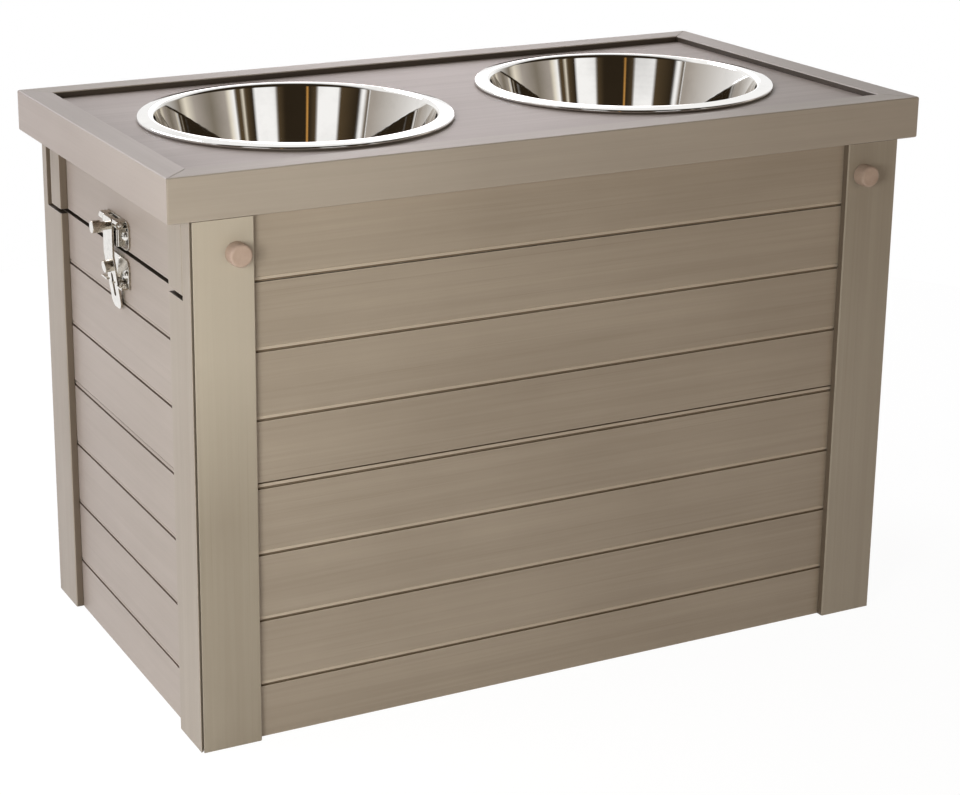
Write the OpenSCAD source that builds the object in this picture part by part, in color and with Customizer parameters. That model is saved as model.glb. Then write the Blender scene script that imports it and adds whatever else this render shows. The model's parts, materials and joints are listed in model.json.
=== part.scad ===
// Elevated dog feeder: a boarded storage box with a lift-off tray lid and two inset bowls.
// Millimetres. X runs to the right, Y to the back, Z up. The origin is on the floor, under the middle of
// the whole, from the pegs' tips to the tray's back edge.

/* [Overall] */
// Width of the tray from side to side
tray_w = 610; // [580:1:760]
// Depth of the tray from front to back
tray_d = 325; // [300:1:400]
// Height of the whole feeder
total_h = 418; // [400:1:500]

/* [Tray] */
// Height of the tray rails
rail_h = 31.5; // [26:0.5:40]
// Width of the tray rails, seen from above
rail_w = 22; // [18:0.5:26]
// Depth of the top panel below the rails
panel_drop = 4.7; // [2:0.1:8]
// Thickness of the top panel
top_t = 10; // [7:0.5:13]
// Rounding of the rails' edges
rail_round = 1.2; // [0.4:0.1:2]
// How far the tray stands out past the posts at each side
over_side = 16; // [12:0.5:20]
// How far the tray stands out past the posts at the front
over_front = 1.5; // [0.5:0.5:6]
// How far the tray stands out past the posts at the back
over_back = 4.5; // [0.5:0.5:8]

/* [Walls] */
// Thickness of the wall panels
panel_t = 10.5; // [8:0.5:13]
// Thickness of the post boards laid over the panels
post_t = 6; // [4:0.5:8]
// Width of the post boards on the front and back
post_front_w = 46; // [36:0.5:60]
// Width of the post boards on the sides
post_side_w = 43; // [38:0.5:56]
// Opening of the mitred seam at each corner
corner_open = 1.2; // [0.4:0.1:2]
// Chamfer of the post boards' free edges
edge_soft = 0.8; // [0.2:0.1:1.5]

/* [Grooves] */
// Height of the lowest groove above the floor
groove_first = 40; // [30:0.5:60]
// Distance from one groove to the next
groove_pitch = 49.75; // [44:0.25:56]
// Which groove, counted from 0, is the joint between two boards
joint_row = 3; // [2:1:4]
// Height of the slit of a groove
slit_h = 1.6; // [0.8:0.1:2.4]
// Depth of the slit of a groove
slit_d = 2.2; // [1:0.1:3]
// Height of the sloping bead above the slit
bead_h = 2; // [1:0.1:3]
// Depth of the bead's upper edge
bead_in = 1.2; // [0.6:0.1:2]
// Depth of the bead's lower edge
bead_out = 0.3; // [0.1:0.1:0.5]
// Height of the open gap between two boards
joint_gap = 1.5; // [0.8:0.1:2.5]
// Depth of the open gap between two boards
lap_d = 4; // [2.5:0.5:6]

/* [Lid] */
// Height of the lid's side boards below the rails
lid_side_h = 54.8; // [50:0.1:70]
// Gap between the side walls and the lid's side boards
part_gap = 3.2; // [1:0.1:5]
// Play of the lid's side boards behind the front wall
lid_play = 0.5; // [0.4:0.1:1.5]
// Width of the fixed strips beside the lid's side boards at the back
strip_w = 11; // [8:0.5:14]
// Gap between those strips and the lid's side boards
strip_gap = 10; // [6:0.5:13]
// Gap between the lid and what it rests on
seat_gap = 0.3; // [0.2:0.05:0.6]

/* [Inside] */
// Thickness of the floor board
floor_t = 8; // [5:0.5:12]
// Height of the floor board's underside
floor_z = 16; // [15:0.5:30]
// Side of the square strips under the floor board and the top panel
cleat_s = 12; // [8:0.5:14]
// Side of the square battens in the corners
batten_s = 20; // [16:0.5:26]
// Distance of the battens' tops below the side walls' top edge
batten_drop = 10; // [4:0.5:30]
// Diameter of the batten screws' shanks
screw_d = 3.5; // [2.5:0.1:5]
// Diameter of the batten screws' heads
screw_head_d = 7; // [5.5:0.5:9]
// Diameter of the batten screws' heads at their outer face
screw_top_d = 4.4; // [3:0.1:5]
// Height of the batten screws' heads
screw_head_h = 2; // [1.2:0.1:3]
// How far the batten screws reach into the wall panels
screw_bite = 6; // [3:0.5:7]
// Distance of the first batten screws from the battens' ends
screw_end = 40; // [24:1:60]
// How much higher the screws into the side walls sit
screw_step = 14; // [10:1:20]

/* [Pegs] */
// Distance of the pegs' centres from the front posts' inner edges
peg_in = 13.5; // [10:0.5:18]
// Distance of the pegs' centres below the tray
peg_drop = 24.3; // [14:0.1:36]
// Diameter of the pegs' heads
peg_d = 16; // [10:0.5:20]
// How far the pegs stand out of the posts
peg_l = 11; // [6:0.5:16]
// Diameter of the pegs' shanks
peg_shank_d = 8; // [5:0.5:9]
// Rounding of the pegs' heads
peg_round = 1.6; // [0.6:0.1:3]

/* [Bowls] */
// Diameter of the bowls' mouths
bowl_open_d = 209; // [190:0.5:215]
// Width of the bowls' rims, from the mouth to the outer edge
bowl_rim_w = 13.25; // [11:0.25:15]
// Depth of the bowls below the top panel
bowl_depth = 62; // [44:1:72]
// Thickness of the bowls' sheet
bowl_t = 1; // [0.7:0.1:1.4]
// Lean of the bowls' walls, in degrees
bowl_lean = 14; // [6:0.5:16]
// Inner radius between the bowls' floor and wall
bowl_fillet = 18; // [10:1:26]
// Radius under the shoulder between the wall and the rim
bowl_shoulder = 3; // [2:0.25:4]
// Slope of the rim, in degrees
bowl_slope = 8; // [4:0.5:12]
// Diameter of the roll round the rim's edge
bowl_roll_d = 3; // [2:0.1:4]
// Play round a bowl in its hole
bowl_play = 1.5; // [0.8:0.1:3]

/* [Latches] */
// How far the latches sit behind the middle of the side walls
latch_back = 0; // [-40:0.5:40]
// Width of the upper latch plates
plate_w = 50; // [49:0.5:60]
// Width of the keeper plates
keeper_w = 46; // [45:0.5:50]
// Thickness of the latch plates
plate_t = 1.6; // [1:0.1:2]
// Rounding of the plates' corners
plate_round = 6; // [2:0.5:7]
// Height of the upper latch plates
hasp_h = 22; // [20:0.1:26]
// Distance of the upper plates above the parting gap
hasp_edge = 0.3; // [0.2:0.1:2]
// Height of the keeper plates
keeper_h = 21.6; // [20:0.1:24]
// Distance of the keeper plates below the parting gap
keeper_edge = 3.5; // [1:0.1:4]
// Width of the swinging arm
arm_w = 19.4; // [18:0.1:22]
// Thickness of the swinging arm
arm_t = 1.6; // [1.2:0.1:1.8]
// Distance of the arm's bend below its pin
arm_bend = 25; // [24:0.1:27]
// Lean of the arm below its bend towards the wall, in degrees
arm_lean = 8; // [4:0.5:8]
// Length of the arm below its bend
arm_end_l = 42; // [40:0.5:43]
// Rounding of the arm's tip
tip_round = 7; // [3:0.5:8]
// Width of the arm's slot
slot_w = 4.6; // [4.2:0.1:5.4]
// Distance of the slot's upper end below the stud
slot_gap = 1; // [0.5:0.1:2]
// Solid metal below the slot
slot_end = 9.2; // [8:0.1:11]
// Diameter of the arm's rolled eye
eye_d = 6; // [5:0.1:6.4]
// Gap between the arm's eye and the plate
eye_gap = 1; // [0.8:0.1:1.2]
// Diameter of the hinge pin
pin_d = 3; // [2.4:0.1:3.4]
// Play round the hinge pin, on the radius
pin_play = 0.1; // [0.05:0.01:0.15]
// Play beside the arm between the plate's knuckles
arm_play = 0.5; // [0.3:0.1:0.8]
// Length of the plate's rolled knuckles, one on each side of the arm
knuckle_l = 8.5; // [6:0.5:9]
// How far the hinge pin's ends stand out of the knuckles
pin_end = 0.6; // [0.2:0.1:1]
// Width of the keeper's lip
lip_w = 44; // [40:0.5:45]
// Thickness of the lip
lip_t = 1.4; // [1:0.1:2]
// How far the lip stands out of the wall
lip_out = 6.9; // [6:0.1:7.4]
// Width of the lip's tongue, which stands in the arm's slot
tongue_w = 3.6; // [3:0.1:3.8]
// Diameter of the pull knob on the arm
knob_d = 9.2; // [7:0.1:10]
// Length of the pull knob's head
knob_l = 6.6; // [4:0.1:7]
// Diameter of the pull knob's neck
knob_neck_d = 6.4; // [4:0.1:6.8]
// Length of the pull knob's neck
knob_neck_l = 5.4; // [3:0.1:6]
// Distance of the pull knob below the hinge pin
knob_drop = 3.8; // [2:0.1:6]
// Diameter of the stud on the arm
stud_d = 9.2; // [7:0.1:10]
// Length of the stud on the arm
stud_l = 5; // [3:0.1:6]
// Distance of the stud below the arm's bend
stud_drop = 9; // [7:0.1:10]
// Diameter of the plate screws' heads
plate_screw_head_d = 8; // [6:0.1:8.6]
// Height of the plate screws' heads
plate_screw_head_h = 2.6; // [1.5:0.1:3]
// Diameter of the plate screws' shanks
plate_screw_d = 3; // [2:0.1:3.6]
// Length of the plate screws under their heads
plate_screw_l = 9; // [6:0.5:10]
// Distance of the plate screws from the middle of their plate
plate_screw_out = 18; // [17:0.1:19]

/* [Hidden] */
board = [0.63, 0.58, 0.53];
steel = [0.80, 0.80, 0.79];
plated = [0.74, 0.72, 0.67];
peg_pink = [0.68, 0.58, 0.53];
inner_board = [0.56, 0.51, 0.46];
// Steps of a quarter round on an edge, and of a round bend
round_steps = 4;
bend_steps = 10;
// Facets of a full round
round_fn = 48;
bowl_fn = 120;
// Angles at which a domed screw head's outline is drawn
dome_start = 18;
dome_step = 12;
// Height of the chamfer above a groove's bead
shoulder_h = 0.6;
// How much longer a cutter is than what it cuts
cut = 1;

half_w = tray_w / 2;
half_d = tray_d / 2;
// The tray's middle lies this far behind the origin, because the pegs stand out past the tray
mid_y = max(0, peg_l - over_front) / 2;
rail_z = total_h - rail_h;
rail_in_x = half_w - rail_w;
rail_in_y = half_d - rail_w;
panel_top = total_h - panel_drop;
panel_under = panel_top - top_t;
wall_top = rail_z - seat_gap;

post_x = half_w - over_side;
front_y = half_d - over_front;
back_y = half_d - over_back;
wall_x = post_x - post_t;
wall_front = front_y - post_t;
wall_back = back_y - post_t;
inner_x = wall_x - panel_t;
inner_front = wall_front - panel_t;
inner_back = wall_back - panel_t;

lid_z = rail_z - lid_side_h;
part_z = lid_z - part_gap;
lid_front = inner_front - lid_play;
lid_back = back_y - strip_w - strip_gap;

joint_z = groove_first + joint_row * groove_pitch;
bead_top = slit_h / 2 + bead_h;
lower_top = joint_z + bead_top;
// A groove is cut only where its whole profile fits on the board, with this much board beyond it
groove_room = bead_top + shoulder_h + slit_h;

floor_top = floor_z + floor_t;
batten_top = part_z - batten_drop;
// Each bowl lies in the middle of its half of the top panel
bowl_x = rail_in_x / 2;
bowl_rim_r = bowl_open_d / 2 + bowl_rim_w;
peg_x = post_x - post_front_w + peg_in;
peg_z = rail_z - peg_drop;

latch_y = latch_back + (back_y - front_y) / 2;
hasp_z = lid_z + hasp_edge;
keeper_z = part_z - keeper_edge - keeper_h;
pin_u = plate_t + eye_gap + eye_d / 2;
pin_z = hasp_z + hasp_h - eye_d / 2;
arm_face = pin_u + eye_d / 2;
knuckle_in = arm_w / 2 + arm_play;
knuckle_out = knuckle_in + knuckle_l;
slot_from = stud_drop + stud_d / 2 + slot_gap;
slot_to = arm_end_l - slot_end;

// Points on an arc, from one angle to another, both ends included
function arc(centre, r, from, to, steps) =
    [for (i = [0:steps]) let (a = from + (to - from) * i / steps) centre + r * [cos(a), sin(a)]];

// Heights of the grooves that fit wholly between two heights
function rows_between(low, high) =
    [for (k = [0:20]) let (z = groove_first + k * groove_pitch)
        if (z - groove_room > low && z + groove_room < high) z];

// Outer face of one groove, from its top down: chamfer, sloping bead, then a square slit
function groove_line(z) = [
    [0, z + bead_top + shoulder_h],
    [bead_in, z + bead_top],
    [bead_out, z + slit_h / 2],
    [slit_d, z + slit_h / 2],
    [slit_d, z - slit_h / 2],
    [0, z - slit_h / 2]
];

// All the grooves of a board from its top down
function groove_lines(low, high) =
    let (rows = rows_between(low, high), n = len(rows))
    [for (i = [1:1:n], p = groove_line(rows[n - i])) p];

// Section of a wall's lower board: depth behind its face, then height
function lower_section() = concat(
    [[panel_t, lower_top], [bead_in, lower_top], [bead_out, joint_z + slit_h / 2],
     [slit_d, joint_z + slit_h / 2], [slit_d, joint_z - slit_h / 2], [0, joint_z - slit_h / 2]],
    groove_lines(0, joint_z),
    [[0, 0], [panel_t, 0]]
);

// Section of a wall's upper board, whose inner half laps down onto the lower board
function upper_section(top) = concat(
    [[panel_t, top], [0, top]],
    groove_lines(joint_z + groove_room, top),
    [[0, lower_top + joint_gap], [lap_d, lower_top + joint_gap], [lap_d, lower_top], [panel_t, lower_top]]
);

// A board across the front wall, and one along the right side wall, from its section
module front_board(section) {
    translate([0, -wall_front, 0]) rotate([90, 0, 90])
        linear_extrude(2 * wall_x, center = true) polygon(section);
}
module side_board(section) {
    translate([wall_x, (inner_back - inner_front) / 2, 0]) rotate([90, 0, 180])
        linear_extrude(inner_back + inner_front, center = true) polygon(section);
}
// The same walls at the back: the front's shapes, turned to the other side
module to_back() {
    translate([0, wall_back - wall_front, 0]) mirror([0, 1, 0]) children();
}
module to_left() {
    mirror([1, 0, 0]) children();
}
// Every piece is drawn round the tray's middle and then moved to the origin
module placed() {
    translate([0, mid_y, 0]) children();
}

// Holes for the screws that go through the battens into the walls, and the screws' own heights
screw_rows = [floor_top + screw_end, batten_top - screw_end];
module batten_screw_at_front(z, x_side) {
    translate([x_side * (inner_x - batten_s / 2), -inner_front + batten_s, z]) rotate([90, 0, 0]) children();
}
module batten_screw_at_side(z, back) {
    y = back ? inner_back - batten_s / 2 : -inner_front + batten_s / 2;
    translate([inner_x - batten_s, y, z + screw_step]) rotate([0, 90, 0]) children();
}
module screw_shank() {
    cylinder(d = screw_d, h = batten_s + screw_bite, $fn = round_fn);
}
module screw_head() {
    translate([0, 0, -screw_head_h])
        cylinder(d1 = screw_top_d, d2 = screw_head_d, h = screw_head_h, $fn = round_fn);
}
module all_front_shanks() {
    for (z = screw_rows, s = [-1, 1]) batten_screw_at_front(z, s) screw_shank();
}
module all_side_shanks() {
    for (z = screw_rows, b = [false, true]) batten_screw_at_side(z, b) screw_shank();
}

module front_panel_lower() {
    color(board) placed() difference() {
        front_board(lower_section());
        all_front_shanks();
    }
}
module front_panel_upper() {
    color(board) placed() difference() {
        front_board(upper_section(wall_top));
        all_front_shanks();
    }
}
module back_panel_lower() {
    color(board) placed() to_back() difference() {
        front_board(lower_section());
        all_front_shanks();
    }
}
module back_panel_upper() {
    color(board) placed() to_back() difference() {
        front_board(upper_section(wall_top));
        all_front_shanks();
    }
}
module right_panel_lower() {
    color(board) placed() difference() {
        side_board(lower_section());
        all_side_shanks();
    }
}
module right_panel_upper() {
    color(board) placed() difference() {
        side_board(upper_section(part_z));
        all_side_shanks();
        latch_place(keeper_z) plate_screw_bores(keeper_h);
    }
}
module left_panel_lower() {
    to_left() right_panel_lower();
}
module left_panel_upper() {
    to_left() right_panel_upper();
}

// Post boards, drawn for the front right corner. The face and side boards meet in an open mitre.
module post_face_board(outer_y, behind_y) {
    inner_edge = post_x - post_front_w;
    linear_extrude(wall_top) polygon([
        [post_x - corner_open, -outer_y],
        [wall_x, -behind_y],
        [inner_edge, -behind_y],
        [inner_edge, -outer_y + edge_soft],
        [inner_edge + edge_soft, -outer_y]
    ]);
}
module post_side_board(outer_y, behind_y, strip) {
    free_edge = -outer_y + post_side_w;
    linear_extrude(part_z) polygon([
        [post_x, -outer_y + corner_open],
        [wall_x, -behind_y],
        [wall_x, free_edge],
        [post_x - edge_soft, free_edge],
        [post_x, free_edge - edge_soft]
    ]);
    linear_extrude(wall_top) polygon([
        [post_x, -outer_y + corner_open],
        [wall_x, -behind_y],
        [wall_x, -outer_y + strip],
        [post_x, -outer_y + strip]
    ]);
}
module peg_place() {
    translate([peg_x, -front_y, peg_z]) rotate([90, 0, 0]) children();
}
module front_right_post_front() {
    color(board) placed() difference() {
        post_face_board(front_y, wall_front);
        peg_place() translate([0, 0, -post_t - cut])
            cylinder(d = peg_shank_d, h = post_t + 2 * cut, $fn = round_fn);
    }
}
module front_right_post_side() {
    color(board) placed() post_side_board(front_y, wall_front, post_t + panel_t);
}
module front_left_post_front() {
    to_left() front_right_post_front();
}
module front_left_post_side() {
    to_left() front_right_post_side();
}
module back_right_post_back() {
    color(board) placed() mirror([0, 1, 0]) post_face_board(back_y, wall_back);
}
module back_right_post_side() {
    color(board) placed() mirror([0, 1, 0]) post_side_board(back_y, wall_back, strip_w);
}
module back_left_post_back() {
    to_left() back_right_post_back();
}
module back_left_post_side() {
    to_left() back_right_post_side();
}

// Square battens that tie the walls together in the corners
module right_batten(low_y) {
    translate([inner_x - batten_s, low_y, floor_top]) cube([batten_s, batten_s, batten_top - floor_top]);
}
module front_right_batten() {
    color(inner_board) placed() difference() {
        right_batten(-inner_front);
        all_front_shanks();
        all_side_shanks();
    }
}
module back_right_batten() {
    color(inner_board) placed() difference() {
        right_batten(inner_back - batten_s);
        to_back() all_front_shanks();
        all_side_shanks();
    }
}
module front_left_batten() {
    to_left() front_right_batten();
}
module back_left_batten() {
    to_left() back_right_batten();
}
module whole_screw() {
    screw_shank();
    screw_head();
}
module batten_screws() {
    color(plated) placed() {
        for (z = screw_rows, s = [-1, 1]) {
            batten_screw_at_front(z, s) whole_screw();
            to_back() batten_screw_at_front(z, s) whole_screw();
        }
        for (z = screw_rows, b = [false, true]) {
            batten_screw_at_side(z, b) whole_screw();
            to_left() batten_screw_at_side(z, b) whole_screw();
        }
    }
}

// The floor board and the strips that carry it
module floor_board() {
    color(inner_board) placed() translate([-inner_x, -inner_front, floor_z])
        cube([2 * inner_x, inner_front + inner_back, floor_t]);
}
module front_floor_cleat() {
    color(inner_board) placed() translate([-inner_x, -inner_front, floor_z - cleat_s])
        cube([2 * inner_x, cleat_s, cleat_s]);
}
module back_floor_cleat() {
    color(inner_board) placed() translate([-inner_x, inner_back - cleat_s, floor_z - cleat_s])
        cube([2 * inner_x, cleat_s, cleat_s]);
}
module right_floor_cleat() {
    color(inner_board) placed() translate([inner_x - cleat_s, -inner_front + cleat_s, floor_z - cleat_s])
        cube([cleat_s, inner_front + inner_back - 2 * cleat_s, cleat_s]);
}
module left_floor_cleat() {
    to_left() right_floor_cleat();
}

// A round peg pressed into each front post
module right_peg() {
    color(peg_pink) placed() peg_place() {
        translate([0, 0, -post_t]) cylinder(d = peg_shank_d, h = post_t, $fn = round_fn);
        rotate_extrude($fn = round_fn) polygon(concat(
            [[0, 0], [peg_d / 2, 0]],
            arc([peg_d / 2 - peg_round, peg_l - peg_round], peg_round, 0, 90, round_steps),
            [[0, peg_l]]
        ));
    }
}
module left_peg() {
    to_left() right_peg();
}

// Tray rails with mitred corners, their long edges rounded except the inner lower one
module rail_section() {
    r = rail_round;
    polygon(concat(
        arc([r, r], r, 270, 180, round_steps),
        arc([r, rail_h - r], r, 180, 90, round_steps),
        arc([rail_w - r, rail_h - r], r, 90, 0, round_steps),
        [[rail_w, 0]]
    ));
}
module long_rail() {
    intersection() {
        translate([0, -half_d, rail_z]) rotate([90, 0, 90])
            linear_extrude(tray_w, center = true) rail_section();
        translate([0, 0, rail_z - cut]) linear_extrude(rail_h + 2 * cut) polygon([
            [-half_w, -half_d], [half_w, -half_d], [rail_in_x, -rail_in_y], [-rail_in_x, -rail_in_y]
        ]);
    }
}
module tray_front_rail() {
    color(board) placed() long_rail();
}
module tray_back_rail() {
    color(board) placed() mirror([0, 1, 0]) long_rail();
}
module tray_right_rail() {
    color(board) placed() intersection() {
        translate([half_w, 0, rail_z]) rotate([90, 0, 180])
            linear_extrude(tray_d, center = true) rail_section();
        translate([0, 0, rail_z - cut]) linear_extrude(rail_h + 2 * cut) polygon([
            [half_w, -half_d], [half_w, half_d], [rail_in_x, rail_in_y], [rail_in_x, -rail_in_y]
        ]);
    }
}
module tray_left_rail() {
    to_left() tray_right_rail();
}

// The top panel lies between the rails and has a round hole for each bowl
module top_panel() {
    hole_r = bowl_open_d / 2 + bowl_t + bowl_play;
    color(board) placed() difference() {
        translate([-rail_in_x, -rail_in_y, panel_under]) cube([2 * rail_in_x, 2 * rail_in_y, top_t]);
        for (s = [-1, 1]) translate([s * bowl_x, 0, panel_under - cut])
            cylinder(r = hole_r, h = top_t + 2 * cut, $fn = bowl_fn);
    }
}
module front_top_cleat() {
    color(inner_board) placed() translate([-inner_x, -rail_in_y, panel_under - cleat_s])
        cube([2 * inner_x, cleat_s, cleat_s]);
}
module back_top_cleat() {
    color(inner_board) placed() translate([-inner_x, rail_in_y - cleat_s, panel_under - cleat_s])
        cube([2 * inner_x, cleat_s, cleat_s]);
}

// The lid's side boards hang below the tray, and a tongue on each runs up to the top panel
module right_lid_board() {
    tongue_x = min(wall_x, rail_in_x);
    tongue_front = min(lid_front, rail_in_y);
    tongue_back = min(lid_back, rail_in_y);
    color(board) placed() difference() {
        union() {
            translate([inner_x, -lid_front, lid_z]) cube([panel_t, lid_front + lid_back, rail_z - lid_z]);
            translate([inner_x, -tongue_front, lid_z])
                cube([tongue_x - inner_x, tongue_front + tongue_back, panel_under - lid_z]);
        }
        latch_place(hasp_z) plate_screw_bores(hasp_h);
    }
}
module left_lid_board() {
    to_left() right_lid_board();
}
// The cheeks carry the post boards' line up over the lid's side boards
module front_right_cheek() {
    color(board) placed() translate([wall_x, -lid_front, lid_z])
        cube([post_t, lid_front - front_y + post_side_w, rail_z - lid_z]);
}
module back_right_cheek() {
    color(board) placed() translate([wall_x, back_y - post_side_w, lid_z])
        cube([post_t, lid_back - back_y + post_side_w, rail_z - lid_z]);
}
module front_left_cheek() {
    to_left() front_right_cheek();
}
module back_left_cheek() {
    to_left() back_right_cheek();
}

// Latch pieces are drawn on the right side: u is the distance out from the wall, v runs along Y
module latch_place(z) {
    translate([wall_x, latch_y, z]) children();
}
// A plate flat on the wall, with its lower and upper corners rounded
module wall_plate(width, height, low_r, top_r) {
    half = width / 2;
    rotate([90, 0, 90]) linear_extrude(plate_t) polygon(concat(
        arc([-half + low_r, low_r], low_r, 270, 180, round_steps),
        arc([-half + top_r, height - top_r], top_r, 180, 90, round_steps),
        arc([half - top_r, height - top_r], top_r, 90, 0, round_steps),
        arc([half - low_r, low_r], low_r, 360, 270, round_steps)
    ));
}
module plate_screw_holes(height) {
    for (s = [-1, 1]) translate([-cut, s * plate_screw_out, height / 2]) rotate([0, 90, 0])
        cylinder(d = plate_screw_d, h = plate_t + 2 * cut, $fn = round_fn);
}
module plate_screws(height) {
    for (s = [-1, 1]) translate([plate_t, s * plate_screw_out, height / 2]) rotate([0, 90, 0]) {
        rotate_extrude($fn = round_fn) polygon(concat(
            [[0, 0], [plate_screw_head_d / 2, 0]],
            [for (a = [dome_start:dome_step:90 - dome_step])
                [plate_screw_head_d / 2 * cos(a), plate_screw_head_h * sin(a)]],
            [[0, plate_screw_head_h]]
        ));
        translate([0, 0, -plate_screw_l]) cylinder(d = plate_screw_d, h = plate_screw_l, $fn = round_fn);
    }
}
// Holes that the plate screws leave in a board
module plate_screw_bores(height) {
    for (s = [-1, 1]) translate([plate_t - plate_screw_l, s * plate_screw_out, height / 2]) rotate([0, 90, 0])
        cylinder(d = plate_screw_d, h = plate_screw_l, $fn = round_fn);
}
module pin_axis(length, diameter) {
    translate([pin_u, 0, 0]) rotate([90, 0, 0])
        cylinder(d = diameter, h = length, center = true, $fn = round_fn);
}

// The upper plate's top edge is rolled round the hinge pin on both sides of the arm
module knuckle() {
    translate([pin_u, 0, 0]) rotate([90, 0, 0])
        cylinder(d = eye_d, h = knuckle_l, center = true, $fn = round_fn);
    translate([0, -knuckle_l / 2, -eye_d / 2]) cube([pin_u, knuckle_l, eye_d]);
}
module right_hasp_plate() {
    color(plated) placed() difference() {
        union() {
            latch_place(hasp_z) wall_plate(plate_w, hasp_h, plate_round, plate_round);
            for (s = [-1, 1]) latch_place(pin_z)
                translate([0, s * (knuckle_in + knuckle_l / 2), 0]) knuckle();
        }
        latch_place(hasp_z) plate_screw_holes(hasp_h);
        latch_place(pin_z) pin_axis(2 * knuckle_out + 2 * cut, pin_d);
    }
}
module left_hasp_plate() {
    to_left() right_hasp_plate();
}
module right_hinge_pin() {
    color(plated) placed() latch_place(pin_z) pin_axis(2 * (knuckle_out + pin_end), pin_d);
}
module left_hinge_pin() {
    to_left() right_hinge_pin();
}

// The keeper: a plate with a lip along its foot. The lip is notched round the arm's end, and a tongue
// in the middle of the notch stands in the arm's slot.
module right_keeper() {
    side_w = lip_w / 2 - knuckle_in;
    color(plated) placed() difference() {
        latch_place(keeper_z) union() {
            wall_plate(keeper_w, keeper_h, lip_t, plate_round);
            translate([0, -tongue_w / 2, 0]) cube([lip_out, tongue_w, lip_t]);
            for (y = [knuckle_in, -lip_w / 2]) translate([0, y, 0])
                cube([lip_out, side_w, lip_t]);
        }
        latch_place(keeper_z) plate_screw_holes(keeper_h);
    }
}
module left_keeper() {
    to_left() right_keeper();
}
module keeper_screws() {
    color(plated) placed() {
        latch_place(keeper_z) plate_screws(keeper_h);
        to_left() latch_place(keeper_z) plate_screws(keeper_h);
    }
}
module hasp_screws() {
    color(plated) placed() {
        latch_place(hasp_z) plate_screws(hasp_h);
        to_left() latch_place(hasp_z) plate_screws(hasp_h);
    }
}

// The arm: a flat strap with a rolled eye at its top. Below its bend it leans towards the wall, and there
// it carries the stud and ends in a closed slot. Lengths are counted down from the bend.
module arm_end_place() {
    translate([arm_face, 0, -arm_bend]) rotate([0, arm_lean, 0]) children();
}
// The strap seen from the side, from its eye round to the tip
module arm_side() {
    eye_r = eye_d / 2;
    inner = arm_face - arm_t;
    tip = [arm_face - arm_end_l * sin(arm_lean), -arm_bend - arm_end_l * cos(arm_lean)];
    polygon(concat(
        arc([pin_u, 0], eye_r, -acos((eye_r - arm_t) / eye_r), -360, 3 * bend_steps),
        [
            [arm_face, -arm_bend],
            tip,
            tip - arm_t * [cos(arm_lean), -sin(arm_lean)],
            [inner, -arm_bend + arm_t * tan(arm_lean / 2)]
        ]
    ));
}
// The strap seen from the front, with its rounded tip and its slot
module arm_front() {
    w = arm_w / 2;
    top = arm_bend + 2 * eye_d;
    difference() {
        polygon(concat(
            [[w, top], [-w, top]],
            arc([-w + tip_round, -arm_end_l + tip_round], tip_round, 180, 270, bend_steps),
            arc([w - tip_round, -arm_end_l + tip_round], tip_round, 270, 360, bend_steps)
        ));
        for (z = [-slot_to + slot_w / 2, -slot_from - slot_w / 2]) translate([0, z])
            circle(d = slot_w, $fn = round_fn);
        translate([-slot_w / 2, -slot_to + slot_w / 2])
            square([slot_w, slot_to - slot_from - slot_w]);
    }
}
module right_latch_arm() {
    color(plated) placed() latch_place(pin_z) difference() {
        intersection() {
            rotate([90, 0, 0]) linear_extrude(arm_w + 2 * cut, center = true) arm_side();
            arm_end_place() rotate([90, 0, 90]) linear_extrude(8 * eye_d, center = true) arm_front();
        }
        pin_axis(arm_w + 2 * cut, pin_d + 2 * pin_play);
    }
}
module left_latch_arm() {
    to_left() right_latch_arm();
}
module right_arm_studs() {
    color(plated) placed() latch_place(pin_z) {
        translate([arm_face, 0, -knob_drop]) rotate([0, 90, 0]) {
            cylinder(d = knob_neck_d, h = knob_neck_l, $fn = round_fn);
            translate([0, 0, knob_neck_l]) cylinder(d = knob_d, h = knob_l, $fn = round_fn);
        }
        arm_end_place() translate([0, 0, -stud_drop]) rotate([0, 90, 0])
            cylinder(d = stud_d, h = stud_l, $fn = round_fn);
    }
}
module left_arm_studs() {
    to_left() right_arm_studs();
}

// Section of a bowl, from its middle out: floor, wall, shoulder, sloping rim and rolled edge.
// Heights are counted from the top panel's face.
module bowl_section() {
    t = bowl_t;
    lean = [cos(bowl_lean), -sin(bowl_lean)];
    up = [sin(bowl_slope), cos(bowl_slope)];
    roll_r = bowl_roll_d / 2;
    roll = [bowl_rim_r - roll_r, seat_gap + roll_r];
    bend_x = bowl_open_d / 2 + bowl_shoulder + t;
    bend_z = (up[0] * (roll[0] - bend_x) + up[1] * roll[1] + roll_r - bowl_shoulder - t) / up[1];
    bend = [bend_x, bend_z];
    fillet_z = -bowl_depth + bowl_fillet;
    fillet_x = (lean * bend - bowl_shoulder - t - bowl_fillet - lean[1] * fillet_z) / lean[0];
    fillet = [fillet_x, fillet_z];
    // The roll starts on the rim's upper face and turns round until it meets the lower one
    roll_end = -180 - bowl_slope - asin((roll_r - t) / roll_r);
    polygon(concat(
        [[0, -bowl_depth]],
        arc(fillet, bowl_fillet, -90, -bowl_lean, bend_steps),
        arc(bend, bowl_shoulder + t, 180 - bowl_lean, 90 - bowl_slope, bend_steps),
        arc(roll, roll_r, 90 - bowl_slope, roll_end, 2 * bend_steps),
        arc(bend, bowl_shoulder, 90 - bowl_slope, 180 - bowl_lean, bend_steps),
        arc(fillet, bowl_fillet + t, -bowl_lean, -90, bend_steps),
        [[0, -bowl_depth - t]]
    ));
}
module right_bowl() {
    color(steel) placed() translate([bowl_x, 0, panel_top])
        rotate_extrude($fn = bowl_fn) bowl_section();
}
module left_bowl() {
    to_left() right_bowl();
}

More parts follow.
